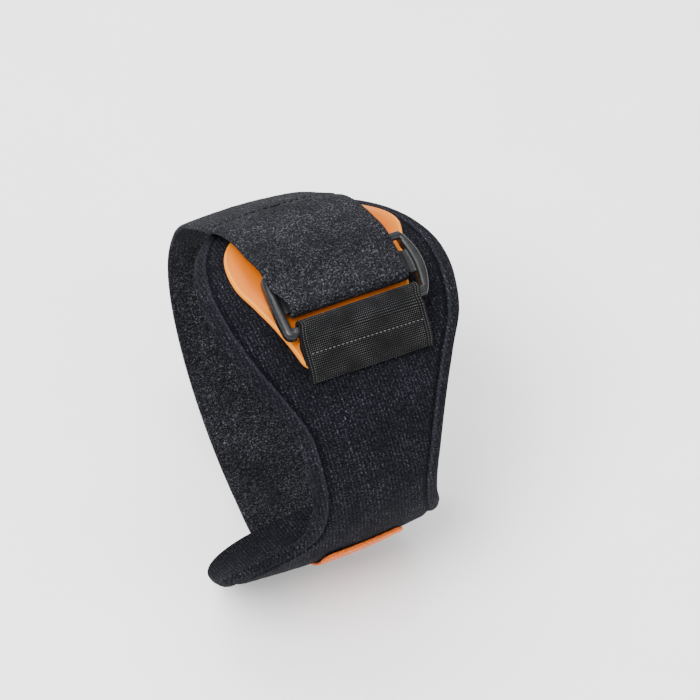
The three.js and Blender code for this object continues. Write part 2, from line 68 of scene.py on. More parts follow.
# Cloth, foam, webbing and plate.
CLEARANCE = 0.3
BODY_THICKNESS = 3.0
BODY_HEAD_HALF = 40.0
BODY_HEAD_ARC = 40.0
BODY_END_ARC = 22.0
BODY_DRIFT = 24.0
BORDER_WIDTH = 6.5
PLATE_THICKNESS = 2.2
PLATE_HALF = 29.2
PLATE_HEAD_ARC = 26.0
PLATE_FOOT_ARC = 7.0
PLATE_SHIFT = -2.2
PLATE_CANT = 0.11
PLATE_BULGE = 0.11
PLATE_BULGE_TURN = -13.0
PLATE_BULGE_REACH = 9.0
STRAP_THICKNESS = 1.4
STRAP_NECK_HALF = 19.9
STRAP_NECK_SHIFT = -1.6
STRAP_SADDLE_HALF = 21.65
STRAP_SADDLE_SHIFT = -3.15
STRAP_WIDE_HALF = 24.0
STRAP_TAIL_HALF = 17.3
STRAP_SIDE_RUN = 17.0
STRAP_TAIL_SHIFT = 2.7
TAIL_TAPER_START = 20.0
TAIL_TAPER_END = 28.0
TAIL_TAPER = 0.38
STRAP_CURL = 2.9
STRAP_LEFT_CURL = 0.15
WEBBING_THICKNESS = 1.2
WEBBING_HALF = 20.4
WEBBING_SHIFT = -0.6
WEBBING_FOLD_SHIFT = -1.3
WEBBING_KNEE_SHIFT = -2.2
WEBBING_DRIFT = 1.2
TAB_THICKNESS = 1.0
TAB_TIP_TURN = 104.0
TAB_ROOT_TURN = 142.0
TAB_HALF = 13.8
TAB_CORNER = 4.0

# The ring, flat on the plate.
RING_TURN = 8.6
RING_SHIFT = -0.4
RING_YAW = 3.0
RING_HALF_HEIGHT = 11.7
RING_HALF_WIDTH = 25.7
RING_INNER_HALF = 22.5
RING_END_HEIGHT = 3.8
RING_LEAN = 0.065
BAR_THICKNESS = 2.0
LOWER_BAR_WIDTH = 3.5
MIDDLE_BAR_WIDTH = 8.1
MIDDLE_BAR_SHIFT = 1.0
UPPER_BAR_WIDTH = 2.7

# Levels in the stack at the ring, measured to the middle of each layer.
STRAP_ON_OVAL = CLEARANCE + STRAP_THICKNESS / 2
STRAP_ON_BODY = BODY_THICKNESS + STRAP_ON_OVAL
PLATE_BASE = BODY_THICKNESS + CLEARANCE
PLATE_TOP = PLATE_BASE + PLATE_THICKNESS
STRAP_ON_PLATE = PLATE_TOP + STRAP_ON_OVAL
BAR_LEVEL = STRAP_ON_PLATE + STRAP_THICKNESS / 2 + CLEARANCE + BAR_THICKNESS / 2
STRAP_FOLD_RADIUS = BAR_THICKNESS / 2 + CLEARANCE + STRAP_THICKNESS / 2
WEBBING_FOLD_RADIUS = BAR_THICKNESS / 2 + CLEARANCE + WEBBING_THICKNESS / 2
TOP_RADIUS = OVAL_HALF_WIDTH**2 / OVAL_HALF_HEIGHT
ARC_PER_DEGREE = OVAL_HALF_WIDTH * math.pi / 180

# Camera, at the photograph's angle.
CAMERA_AZIMUTH = -25.148
CAMERA_ELEVATION = 56.321
CAMERA_ROLL = -0.761
CAMERA_DISTANCE = 0.9
FOCAL_PIXELS = 2828.93
CENTRE_PIXEL = (333.439, 361.739)


def make_camera():
    azimuth = math.radians(CAMERA_AZIMUTH)
    elevation = math.radians(CAMERA_ELEVATION)
    back = Vector((
        math.sin(azimuth) * math.cos(elevation),
        -math.cos(azimuth) * math.cos(elevation),
        math.sin(elevation),
    ))
    across = Vector((math.cos(azimuth), math.sin(azimuth), 0))
    up = back.cross(across)
    turn = Matrix((across, up, back)).transposed().to_4x4()
    roll = Matrix.Rotation(math.radians(CAMERA_ROLL), 4, "Z")
    data = bpy.data.cameras.new("camera")
    data.sensor_width = 36.0
    data.lens = FOCAL_PIXELS / IMAGE * data.sensor_width
    data.shift_x = (IMAGE / 2 - CENTRE_PIXEL[0]) / IMAGE
    data.shift_y = (CENTRE_PIXEL[1] - IMAGE / 2) / IMAGE
    data.clip_start = 0.05
    data.clip_end = 20
    camera = bpy.data.objects.new("camera", data)
    camera.matrix_world = Matrix.Translation(back * CAMERA_DISTANCE) @ turn @ roll
    bpy.context.collection.objects.link(camera)
    bpy.context.scene.camera = camera


def wrap(turn, x, lift, barrel=BARRELLING):
    """Points on the oval: turn in degrees from the top towards the front, lift above it."""
    turn, x, lift = np.broadcast_arrays(*(np.asarray(v, float) for v in (turn, x, lift)))
    angle = np.radians(turn)
    along = x / 100
    half_width = OVAL_HALF_WIDTH * (1 - WIDTH_TAPER * along - barrel * along**2)
    half_height = OVAL_HALF_HEIGHT * (1 - HEIGHT_TAPER * along - barrel * along**2)
    out_y = -np.sin(angle) / OVAL_HALF_WIDTH
    out_z = np.cos(angle) / OVAL_HALF_HEIGHT
    size = np.hypot(out_y, out_z)
    y = FRONT_LEAN * x - np.sin(angle) * half_width + lift * out_y / size
    z = UP_LEAN * x + np.cos(angle) * half_height + lift * out_z / size
    return np.stack([x, y, z], axis=-1)


def ring_frame():
    """The ring's own frame: across its bars, towards the back, and out of the oval."""
    origin = wrap(RING_TURN, RING_SHIFT, 0)
    across = wrap(RING_TURN, RING_SHIFT + 1, 0, 0) - wrap(RING_TURN, RING_SHIFT - 1, 0, 0)
    across = Vector(across).normalized()
    out = Vector(wrap(RING_TURN, RING_SHIFT, 1) - origin)
    out = (out - across * out.dot(across)).normalized()
    across.rotate(Matrix.Rotation(math.radians(RING_YAW), 3, out))
    back = out.cross(across)
    return origin, np.array([across, back, out])


SEAT_ORIGIN, SEAT_AXES = ring_frame()


def on_seat(x, back, level):
    x, back, level = np.broadcast_arrays(*(np.asarray(v, float) for v in (x, back, level)))
    return SEAT_ORIGIN + np.stack([x - RING_SHIFT, back, level], axis=-1) @ SEAT_AXES


def table(keys, *rows):
    return [dict(zip(keys.split(), row)) for row in rows]


def smooth_between(values, slopes, i, t, span):
    """A smooth curve from value i to the next one, read at share t of the span."""
    return (
        (2 * t**3 - 3 * t**2 + 1) * values[i]
        + (t**3 - 2 * t**2 + t) * span * slopes[i]
        + (3 * t**2 - 2 * t**3) * values[i + 1]
        + (t**3 - t**2) * span * slopes[i + 1]
    )


def read_table(rows, key, turn):
    """A smooth curve through one column of a table, read at any turn."""
    turns = np.array([row["turn"] for row in rows], float)
    values = np.array([row[key] for row in rows], float)
    low = np.maximum(np.arange(len(rows)) - 1, 0)
    high = np.minimum(np.arange(len(rows)) + 1, len(rows) - 1)
    slopes = (values[high] - values[low]) / (turns[high] - turns[low])
    turn = np.asarray(turn, float)
    i = np.clip(np.searchsorted(turns, turn, side="left") - 1, 0, len(rows) - 2)
    span = turns[i + 1] - turns[i]
    t = np.clip((turn - turns[i]) / span, 0, 1)
    return smooth_between(values, slopes, i, t, span)


def round_end(distance, arc, fullness):
    """Share of the full width left at a distance from a rounded end."""
    gone = np.clip(1 - np.asarray(distance, float) / arc, 0, 1)
    return (1 - gone**fullness) ** (1 / fullness)


def eased(start, end, count):
    """Values closer together towards the start."""
    t = np.linspace(0, 1, count + 1)
    return start + (end - start) * (1 - np.cos(t * math.pi / 2))


def smoothstep(low, high, value):
    t = np.clip((value - low) / (high - low), 0, 1)
    return t * t * (3 - 2 * t)


NOISE_CELLS = 64


def value_noise(points, cell, seed):
    """Smooth noise from -1 to 1 with bumps about one cell wide, in millimetres."""
    lattice = np.random.default_rng(seed).uniform(-1, 1, (NOISE_CELLS,) * 3)
    place = points / cell + 1000
    base = np.floor(place).astype(int)
    part = place - base
    part = part * part * (3 - 2 * part)
    total = np.zeros(points.shape[:-1])
    for corner in np.ndindex(2, 2, 2):
        weight = np.ones_like(total)
        for axis in range(3):
            weight = weight * (part[..., axis] if corner[axis] else 1 - part[..., axis])
        index = [(base[..., axis] + corner[axis]) % NOISE_CELLS for axis in range(3)]
        total += weight * lattice[index[0], index[1], index[2]]
    return total


def relief(points, layers):
    """Several layers of noise added up. Each is a height, a cell size and a seed."""
    return sum(height * value_noise(points, cell, seed) for height, cell, seed in layers)


def make_object(name, points, faces, flat=None):
    """A smooth mesh piece from points in millimetres. flat is each point's place on the cut
    cloth: across, along, and 1 on the face side or 0 on the back."""
    mesh = bpy.data.meshes.new(name)
    mesh.from_pydata((np.asarray(points).reshape(-1, 3) * MM).tolist(), [], faces)
    if flat is not None:
        layer = mesh.attributes.new("flat", "FLOAT_VECTOR", "POINT")
        layer.data.foreach_set("vector", np.asarray(flat, np.float32).ravel())
    mesh.update()
    mesh.polygons.foreach_set("use_smooth", [True] * len(mesh.polygons))
    obj = bpy.data.objects.new(name, mesh)
    bpy.context.collection.objects.link(obj)
    return obj


def add_inset(obj, distance, shape):
    """Store each face-side point's distance from the cut edge, in millimetres."""
    inset = np.zeros(shape, np.float32)
    inset[:, :distance.shape[1]] = distance
    layer = obj.data.attributes.new("inset", "FLOAT", "POINT")
    layer.data.foreach_set("value", inset.ravel())


def stacked_faces(count, rings, order=1):
    """Faces of a closed solid made of equal loops of points, capped at both ends. Order -1
    is for loops that run the other way round."""
    last = count * (rings - 1)
    faces = [list(range(count))[::-order], list(range(last, last + count))[::order]]
    for low in range(0, last, count):
        for i in range(count):
            k = (i + 1) % count
            faces.append([low + i, *[low + k, low + count + k, low + count + i][::order]])
    return faces


def tube_faces(rows, top, arc):
    """Faces of a closed solid whose rows are loops: the face side from left to right, the
    right edge, the back from right to left, and the left edge."""
    loop = 2 * top + 2 * arc
    grid = np.arange(rows * loop).reshape(rows, loop)
    nxt = np.roll(grid, -1, axis=1)
    quads = np.stack([grid[:-1], nxt[:-1], nxt[1:], grid[1:]], axis=-1).reshape(-1, 4).tolist()
    for row, order in ((0, -1), (rows - 1, 1)):
        upper = grid[row, :top]
        lower = grid[row, top + arc:2 * top + arc][::-1]
        for j in range(top - 1):
            quads.append([upper[j], upper[j + 1], lower[j + 1], lower[j]][::order])
        right = [upper[-1], *grid[row, top:top + arc], lower[-1]]
        left = [lower[0], *grid[row, 2 * top + arc:], upper[0]]
        quads.append(right[::order])
        quads.append(left[::order])
    return [[int(v) for v in face] for face in quads]


EDGE_ARC = 5
EDGE_ANGLES = np.radians(np.linspace(90, -90, EDGE_ARC + 2)[1:-1])
# The right edge and the left: the column, the way out, and the order of its arc.
EDGES = ((-1, 1, 1), (0, -1, -1))


def unit(vectors):
    return vectors / np.maximum(np.linalg.norm(vectors, axis=-1, keepdims=True), 1e-9)


def grid_normals(middle):
    """Outward unit normals and unit across directions of a grid, rows running front to back."""
    along = np.gradient(middle, axis=0)
    across = np.gradient(middle, axis=1)
    return unit(np.cross(across, along)), unit(across)


def resample(rows, spacing):
    """A smooth grid through control rows, with even spacing along it, and where each control
    row lies, as a distance along it."""
    rows = np.asarray(rows)
    gaps = np.linalg.norm(np.diff(rows, axis=0), axis=-1).mean(axis=1)
    place = np.concatenate([[0], np.cumsum(gaps)])
    slopes = np.gradient(rows, place, axis=0)
    wanted = np.linspace(0, place[-1], int(place[-1] / spacing) + 2)
    i = np.clip(np.searchsorted(place, wanted) - 1, 0, len(place) - 2)
    span = (place[i + 1] - place[i])[:, None, None]
    t = ((wanted - place[i]) / (place[i + 1] - place[i]))[:, None, None]
    return smooth_between(rows, slopes, i, t, span), wanted, place


def cut_places(across, along):
    """Each point's place on the cut cloth, from the face side's places across and along."""
    right, left = (np.repeat(across[:, [column]], EDGE_ARC, axis=1) for column in (-1, 0))
    top = across.shape[1]
    edge_side = (1 + np.sin(EDGE_ANGLES)) / 2
    side = np.concatenate([np.ones(top), edge_side, np.zeros(top), edge_side[::-1]])
    flat = np.zeros((len(across), len(side), 3))
    flat[..., 0] = np.concatenate([across, right, across[:, ::-1], left], axis=1)
    flat[..., 1] = along[:, None]
    flat[..., 2] = side
    return flat


def make_ribbon(name, middle, along, thickness, half, face_relief, back_relief, edge):
    """A closed ribbon about a grid of mid-surface points, with rounded edges. The relief
    arrays stand the face and the back out by so many millimetres."""
    normals, across = grid_normals(middle)
    rows, top = middle.shape[:2]
    half_t = thickness / 2
    face = middle + normals * (half_t + face_relief)[..., None]
    back = (middle - normals * (half_t + back_relief)[..., None])[:, ::-1]
    arcs = []
    for column, side, order in EDGES:
        centre = middle[:, column][:, None]
        rise = np.sin(EDGE_ANGLES)[::order][None, :, None] * half_t
        run = np.cos(EDGE_ANGLES)[::order][None, :, None] * edge * side
        out = normals[:, column][:, None] * rise + across[:, column][:, None] * run
        arcs.append(centre + out)
    points = np.concatenate([face, arcs[0], back, arcs[1]], axis=1)
    flat = cut_places(np.tile(np.linspace(-half, half, top), (rows, 1)), along)
    return make_object(name, points, tube_faces(rows, top, EDGE_ARC), flat)


# The body's outline round the oval: half width as a share of the head's, and the middle
# line's shift towards the wide end of the hollow as a share of the drift.
BODY_OUTLINE = table(
    "turn half shift",
    (-44, 0.97, 0.06),
    (-30, 0.97, 0.06),
    (-14, 0.98, 0.065),
    (2, 0.994, 0.081),
    (12, 0.968, 0.104),
    (24, 0.891, 0.135),
    (36, 0.754, 0.198),
    (48, 0.634, 0.26),
    (60, 0.571, 0.36),
    (74, 0.53, 0.458),
    (84, 0.544, 0.54),
    (92, 0.6, 0.63),
    (98, 0.72, 0.795),
    (104, 0.835, 0.945),
    (112, 0.91, 1.02),
    (124, 0.93, 1.02),
    (158, 0.9, 0.96),
)
# The border's height as a share of the thickness, from the cut edge inwards.
BORDER_REACH = [0.0, 0.03, 0.09, 0.2, 0.34, 0.46, 0.58, 0.7, 0.84, 1.0]
BORDER_HEIGHT = [0.5, 0.64, 0.78, 0.9, 0.97, 0.96, 0.79, 0.79, 0.93, 1.0]
# Lengthwise folds in the body's neck: place across as a share of the half width.
BODY_FOLDS = table(
    "turn reach place width depth",
    (78, 30, -0.52, 0.2, 0.22),
    (92, 22, -0.12, 0.16, 0.12),
)
BODY_RELIEF = ((0.12, 14, 3), (0.07, 3.2, 4), (0.06, 0.8, 5))
BODY_BACK_WAVE = 0.05
BODY_EDGE = 0.6
# Degrees of each end with closer rows.
BODY_HEAD_TURN = 24
BODY_FOOT_TURN = 20


def make_body():
    start = BODY_OUTLINE[0]["turn"]
    end = BODY_OUTLINE[-1]["turn"]
    neck_start = start + BODY_HEAD_TURN
    neck_end = end - BODY_FOOT_TURN
    head = eased(start + 0.05, neck_start, 44)
    neck = np.linspace(neck_start, neck_end, 190)[1:]
    foot = eased(end - 0.05, neck_end, 34)[::-1][1:]
    turns = np.concatenate([head, neck, foot])[::-1]
    from_head = (turns - start) * ARC_PER_DEGREE
    from_end = (end - turns) * ARC_PER_DEGREE
    rounding = round_end(from_head, BODY_HEAD_ARC, 2) * round_end(from_end, BODY_END_ARC, 2.4)
    edge = np.minimum(BODY_EDGE, 0.4 * BODY_HEAD_HALF * rounding)
    half = BODY_HEAD_HALF * read_table(BODY_OUTLINE, "half", turns) * rounding - edge
    middle = -BODY_DRIFT * read_table(BODY_OUTLINE, "shift", turns)
    border = np.minimum(BORDER_WIDTH, half * 0.6)
    steps = np.linspace(0, 1, len(BORDER_REACH))
    reach = np.interp(np.linspace(0, 1, 16), steps, BORDER_REACH)
    inset = reach[None, :] * border[:, None]
    inner = np.linspace(-1, 1, 62)[None, 1:-1] * (half - border)[:, None]
    right = (half[:, None] - inset)[:, ::-1]
    offsets = np.concatenate([inset - half[:, None], inner, right], axis=1)
    distance = np.minimum(half[:, None] - np.abs(offsets), 1.2 * from_head[:, None])
    distance = np.minimum(distance, 1.2 * from_end[:, None])
    height = np.interp(distance / BORDER_WIDTH, BORDER_REACH, BORDER_HEIGHT)
    place = offsets / np.maximum(half[:, None], 1e-6)
    for fold in BODY_FOLDS:
        along = (turns[:, None] - fold["turn"]) / fold["reach"]
        over = (place - fold["place"]) / fold["width"]
        height = height - fold["depth"] * np.exp(-along**2 - over**2)
    x = middle[:, None] + offsets
    lift = BODY_THICKNESS * height
    rough = wrap(turns[:, None], x, lift)
    lift = lift + relief(rough, BODY_RELIEF)
    face = wrap(turns[:, None], x, lift)
    back = wrap(turns[:, None], x, BODY_BACK_WAVE * (1 + value_noise(rough, 9, 6)))[:, ::-1]
    pressed = lift[:, 0] / 2
    arcs = []
    for column, side, order in EDGES:
        run = np.cos(EDGE_ANGLES)[::order] * side * edge[:, None]
        rise = pressed[:, None] * (1 + np.sin(EDGE_ANGLES)[::order])
        arcs.append(wrap(turns[:, None], x[:, column][:, None] + run, rise))
    points = np.concatenate([face, arcs[0], back, arcs[1]], axis=1)
    top = face.shape[1]
    flat = cut_places(x, turns * ARC_PER_DEGREE)
    piece = make_object("body_velour", points, tube_faces(len(turns), top, EDGE_ARC), flat)
    add_inset(piece, distance, points.shape[:2])
    return piece


PLATE_OUTLINE = table(
    "turn half",
    (-29, 0.97),
    (-6, 0.965),
    (3, 0.88),
    (12, 0.785),
    (22, 0.7),
    (29.5, 0.66),
)
# The plate's height as a share of its thickness, at distances from the edge.
RIM_INSET = [0.0, 0.12, 0.35, 0.7, 1.5, 2.0, 2.6, 3.4]
RIM_HEIGHT = [0.42, 0.56, 0.65, 0.69, 0.69, 0.72, 0.79, 0.83]
PLATE_DOME = 0.2
PLATE_DOME_START = 5.2
PLATE_EDGE = 0.3
# Degrees of each end with closer rows.
PLATE_HEAD_TURN = 20
PLATE_FOOT_TURN = 6


def make_plate():
    start = PLATE_OUTLINE[0]["turn"]
    end = PLATE_OUTLINE[-1]["turn"]
    middle_start = start + PLATE_HEAD_TURN
    middle_end = end - PLATE_FOOT_TURN
    head = eased(start + 0.03, middle_start, 60)
    middle = np.linspace(middle_start, middle_end, 70)[1:]
    foot = eased(end - 0.03, middle_end, 26)[::-1][1:]
    turns = np.concatenate([head, middle, foot])[::-1]
    from_head = (turns - start) * ARC_PER_DEGREE
    from_foot = (end - turns) * ARC_PER_DEGREE
    rounding = round_end(from_head, PLATE_HEAD_ARC, 3) * round_end(from_foot, PLATE_FOOT_ARC, 3)
    half = PLATE_HALF * read_table(PLATE_OUTLINE, "half", turns) * rounding - PLATE_EDGE
    rim_width = np.minimum(RIM_INSET[-1], half * 0.3)
    inset = np.linspace(0, 1, 18)[None, :] ** 1.3 * rim_width[:, None]
    inner = np.linspace(-1, 1, 50)[None, 1:-1] * (half - rim_width)[:, None]
    right = (half[:, None] - inset)[:, ::-1]
    offsets = np.concatenate([inset - half[:, None], inner, right], axis=1)
    ends = np.minimum(from_head, from_foot)
    distance = np.minimum(half[:, None] - np.abs(offsets), ends[:, None])
    rim = np.interp(distance, RIM_INSET, RIM_HEIGHT)
    dome = 1 - PLATE_DOME * np.maximum(1 - distance / PLATE_HEAD_ARC, 0) ** 2
    blend = smoothstep(RIM_INSET[-3], PLATE_DOME_START, distance)
    height = rim * (1 - blend) + dome * blend
    from_bulge = (turns[:, None] - PLATE_BULGE_TURN) / PLATE_BULGE_REACH
    bulge = PLATE_BULGE * np.exp(-(from_bulge**2))

    def place(offset, lift):
        across = np.where(offset > 0, offset * (1 + bulge), offset)
        return wrap(turns[:, None] - PLATE_CANT * across, PLATE_SHIFT + across, lift)

    face = place(offsets, PLATE_BASE + PLATE_THICKNESS * height)
    back = place(offsets, PLATE_BASE)[:, ::-1]
    pressed = PLATE_THICKNESS * height[:, 0] / 2
    arcs = []
    for column, side, order in EDGES:
        run = np.cos(EDGE_ANGLES)[::order] * side * PLATE_EDGE
        rise = pressed[:, None] * (1 + np.sin(EDGE_ANGLES)[::order])
        arcs.append(place(offsets[:, column][:, None] + run, PLATE_BASE + rise))
    points = np.concatenate([face, arcs[0], back, arcs[1]], axis=1)
    faces = tube_faces(len(turns), face.shape[1], EDGE_ARC)
    piece = make_object("plate_moulding", points, faces)
    add_inset(piece, distance, points.shape[:2])
    return piece


def fold_around(centre, radius, facing):
    """Points of a half turn round a bar's edge, from under it to over it."""
    angles = np.radians(np.linspace(-90, 90, 9))
    return zip(centre + facing * radius * np.cos(angles), BAR_LEVEL + radius * np.sin(angles))


# The strap's run away from the ring. rise is a share of the stack's height at the ring over
# the body, step a share of the body's own step, tab a share of the hook tab's; half is a
# share of the wide half width, drift of the strap's side run, curl of the edges' curl, and
# cant turns the row, in degrees for each millimetre across.
STRAP_RUN = table(
    "turn rise step tab half drift curl cant",
    (10, 0.9, 1, 0, 0.91, 0.156, 0, 0.06),
    (15, 0.81, 1, 0, 0.906, 0.179, 0.08, 0.07),
    (20, 0.69, 1, 0, 0.908, 0.206, 0.16, 0.08),
    (24, 0.575, 1, 0, 0.913, 0.241, 0.28, 0.09),
    (28, 0.45, 1, 0, 0.925, 0.282, 0.5, 0.1),
    (36, 0.2, 1, 0, 0.948, 0.344, 0.62, 0.1),
    (44, 0.03, 1, 0, 0.971, 0.359, 0.95, 0.08),
    (52, 0, 0.82, 0, 0.985, 0.368, 0.76, 0.05),
    (60, 0, 0.42, 0, 1, 0.378, 0.4, 0.03),
    (70, 0, 0.08, 0, 1, 0.4, 0.08, 0),
    (80, 0, 0, 0, 1, 0.43, 0, 0),
    (188, 0, 0, 0, 1, 0.86, 0, 0),
    (194, 0, 0.12, 0, 1, 0.89, 0, 0),
    (202, 0, 1, 0, 0.98, 0.92, 0, 0),
    (212, 0, 1, 0, 0.9, 0.96, 0, 0),
    (218, 0, 1, 1, 0.8, 0.98, 0, 0),
    (225, 0, 1, 1, 0.7, 1, 0, 0),
)
SEAM_TURN = 31.5
SEAM_REACH = 1.7
SEAM_DEPTH = 0.45
SEAM_ROLL = 0.28
# Where the roll in front of the seam lies, and how far it spreads, in seam reaches.
ROLL_PLACE = 2.6
ROLL_REACH = 1.6
STRAP_END_TURN = 225
# The under ply, from its cut end behind the plate to the ring. rise is a share of the step
# up onto the plate, shift a share of the tail's shift.
STRAP_TAIL = table(
    "turn rise cant shift",
    (33.2, 0.06, 0.1, 1),
    (31.5, 0.14, 0.1, 0.98),
    (30, 0.32, 0.1, 0.96),
    (28.6, 0.66, 0.095, 0.93),
    (27, 0.84, 0.09, 0.89),
    (25, 0.95, 0.085, 0.81),
    (22, 1, 0.08, 0.74),
    (17, 1, 0.07, 0.59),
    (11, 1, 0.06, 0.44),
)


def strap_lift(turn):
    over_bars = BAR_LEVEL + STRAP_FOLD_RADIUS + RING_HALF_HEIGHT**2 / (2 * TOP_RADIUS)
    from_seam = (turn - SEAM_TURN) / SEAM_REACH
    dent = SEAM_DEPTH * math.exp(-(from_seam**2))
    dent -= SEAM_ROLL * math.exp(-(((from_seam + ROLL_PLACE) / ROLL_REACH) ** 2))
    return float(
        STRAP_ON_OVAL
        + read_table(STRAP_RUN, "rise", turn) * (over_bars - STRAP_ON_BODY)
        + read_table(STRAP_RUN, "step", turn) * (STRAP_ON_BODY - STRAP_ON_OVAL)
        + read_table(STRAP_RUN, "tab", turn) * (TAB_THICKNESS + CLEARANCE)
        - dent
    )


STRAP_EDGE = 0.5
STRAP_PILE = ((0.05, 0.9, 11), (0.05, 2.4, 12))
STRAP_SWELL = ((0.1, 11, 13),)
STRAP_BACK_PILE = ((0.04, 0.9, 14),)


def strap_rows(shares):
    """Control rows of the strap's mid-surface, and the row on which the plies' seam lies."""
    rows = []
    for row in STRAP_TAIL:
        taper = TAIL_TAPER * float(smoothstep(TAIL_TAPER_START, TAIL_TAPER_END, row["turn"]))
        kept = np.where(shares > 0, 1 - taper, 1)
        offset = shares * kept * (STRAP_TAIL_HALF - STRAP_EDGE)
        lift = STRAP_ON_BODY + (STRAP_ON_PLATE - STRAP_ON_BODY) * row["rise"]
        x = offset - STRAP_TAIL_SHIFT * row["shift"]
        rows.append(wrap(-row["turn"] - row["cant"] * offset, x, lift))
    fold = MIDDLE_BAR_SHIFT - MIDDLE_BAR_WIDTH / 2 + BAR_THICKNESS / 2
    upper = RING_HALF_HEIGHT - UPPER_BAR_WIDTH
    for back in (RING_HALF_HEIGHT, upper, RING_HALF_HEIGHT / 2, fold + 2):
        near = (back - fold) / (RING_HALF_HEIGHT - fold)
        half = STRAP_NECK_HALF + (STRAP_TAIL_HALF - STRAP_NECK_HALF) * min(near * 1.4, 1)
        level = STRAP_ON_PLATE - back * back / (2 * TOP_RADIUS)
        rows.append(on_seat(STRAP_NECK_SHIFT + shares * (half - STRAP_EDGE), back, level))
    for back, level in fold_around(fold, STRAP_FOLD_RADIUS, -1):
        offset = shares * (STRAP_NECK_HALF - STRAP_EDGE)
        rows.append(on_seat(STRAP_NECK_SHIFT + offset, back, level))
    over = BAR_LEVEL + STRAP_FOLD_RADIUS
    for back in (fold + 2 * STRAP_THICKNESS, RING_HALF_HEIGHT / 2, upper, RING_HALF_HEIGHT - 0.4):
        run = (back - fold) / (RING_HALF_HEIGHT - fold)
        near = min(max(1.9 * (run - 0.1), 0), 1)
        half = STRAP_NECK_HALF + (STRAP_SADDLE_HALF - STRAP_NECK_HALF) * near
        shift = STRAP_NECK_SHIFT + (STRAP_SADDLE_SHIFT - STRAP_NECK_SHIFT) * near
        rows.append(on_seat(shift + shares * (half - STRAP_EDGE), back, over))
    near_turns = np.linspace(10, 28, 7)
    seam_turns = np.array([29.4, 30.4, 31, SEAM_TURN, 32, 32.6, 34])
    top_turns = np.linspace(36, 80, 14)
    back_turns = np.linspace(86, 188, 15)
    under_turns = np.linspace(191, STRAP_END_TURN, 16)
    seam_row = len(rows) + len(near_turns) + 3
    for turn in np.concatenate([near_turns, seam_turns, top_turns, back_turns, under_turns]):
        corner = round_end((STRAP_END_TURN - turn + 0.4) * ARC_PER_DEGREE, TAB_CORNER, 2.2)
        half = STRAP_WIDE_HALF * read_table(STRAP_RUN, "half", turn) * (0.75 + 0.25 * corner)
        shift = -STRAP_SIDE_RUN * read_table(STRAP_RUN, "drift", turn)
        curl = STRAP_CURL * read_table(STRAP_RUN, "curl", turn)
        offset = shares * (half - STRAP_EDGE)
        lean = read_table(STRAP_RUN, "cant", turn) * offset
        fall = curl * shares**4 * np.where(shares < 0, STRAP_LEFT_CURL, 1)
        rows.append(wrap(-turn - lean, shift + offset, strap_lift(turn) - fall))
    return rows, seam_row


def make_strap():
    """The velour strap, and its mid-surface grid for the seam's stitches."""
    rows, seam_row = strap_rows(np.linspace(-1, 1, 64))
    middle, along, places = resample(rows, 0.78)
    swell = relief(middle, STRAP_SWELL)
    face = relief(middle, STRAP_PILE) + swell
    back = relief(middle, STRAP_BACK_PILE) - swell
    piece = make_ribbon(
        "strap_velour", middle, along, STRAP_THICKNESS, STRAP_WIDE_HALF, face, back, STRAP_EDGE
    )
    return piece, middle, along, places[seam_row]


RIB_PITCH = 0.66
RIB_DEPTH = 0.09
SELVEDGE_CORDS = (0.45, 1.35)
CORD_HEIGHT = 0.14
CORD_WIDTH = 0.28
WEBBING_EDGE = 0.4
# The webbing's outer ply, down to its sewn edge: height is a share of its height at the ring.
OUTER_PLY = (
    (21.4, 0.97),
    (22.6, 0.86),
    (24.2, 0.74),
    (26, 0.62),
    (27.6, 0.52),
    (29.2, 0.42),
    (30.6, 0.29),
    (31.8, 0.1),
    (32.6, 0.02),
)
UNDER_PLY = ((27.6, -0.1), (25.8, -0.04), (24, 0), (22.2, 0))


def webbing_rows(shares):
    on_body = BODY_THICKNESS + CLEARANCE + WEBBING_THICKNESS / 2
    on_plate = PLATE_TOP + CLEARANCE + WEBBING_THICKNESS / 2
    fold = -RING_HALF_HEIGHT + LOWER_BAR_WIDTH - BAR_THICKNESS / 2
    offset = shares * (WEBBING_HALF - WEBBING_EDGE)

    def place(turn, lift):
        return wrap(turn, WEBBING_SHIFT - WEBBING_DRIFT * (turn - 15) / 20 + offset, lift)

    rows = [place(turn, on_plate + rise) for turn, rise in UNDER_PLY]
    under = on_plate - fold * fold / (2 * TOP_RADIUS)
    rows.append(on_seat(WEBBING_FOLD_SHIFT + offset, -RING_HALF_HEIGHT + 0.2, under))
    for back, level in fold_around(fold, WEBBING_FOLD_RADIUS, 1):
        rows.append(on_seat(WEBBING_FOLD_SHIFT + offset, back, level))
    over = BAR_LEVEL + WEBBING_FOLD_RADIUS
    rows.append(on_seat(WEBBING_KNEE_SHIFT + offset, -RING_HALF_HEIGHT + 0.4, over - 0.05))
    over_bar = over + RING_HALF_HEIGHT**2 / (2 * TOP_RADIUS) - on_body
    rows.extend(place(turn, on_body + height * over_bar) for turn, height in OUTER_PLY)
    return rows


def make_webbing():
    shares = np.linspace(-1, 1, 110)
    middle, along, places = resample(webbing_rows(shares), 0.16)
    offset = shares[None, :] * WEBBING_HALF
    ribs = RIB_DEPTH * np.cos(2 * math.pi * along[:, None] / RIB_PITCH)
    ribs = ribs * (1 - smoothstep(WEBBING_HALF - 2.4, WEBBING_HALF - 1.8, np.abs(offset)))
    cords = np.zeros_like(ribs)
    for inset in SELVEDGE_CORDS:
        from_cord = (WEBBING_HALF - np.abs(offset) - inset) / CORD_WIDTH
        cords = cords + CORD_HEIGHT * np.exp(-(from_cord**2))
    height = ribs + cords
    piece = make_ribbon(
        "webbing_ply", middle, along, WEBBING_THICKNESS, WEBBING_HALF, height, height, WEBBING_EDGE
    )
    return piece, middle, along, places


TAB_RELIEF = ((0.06, 0.7, 21), (0.05, 3, 22))


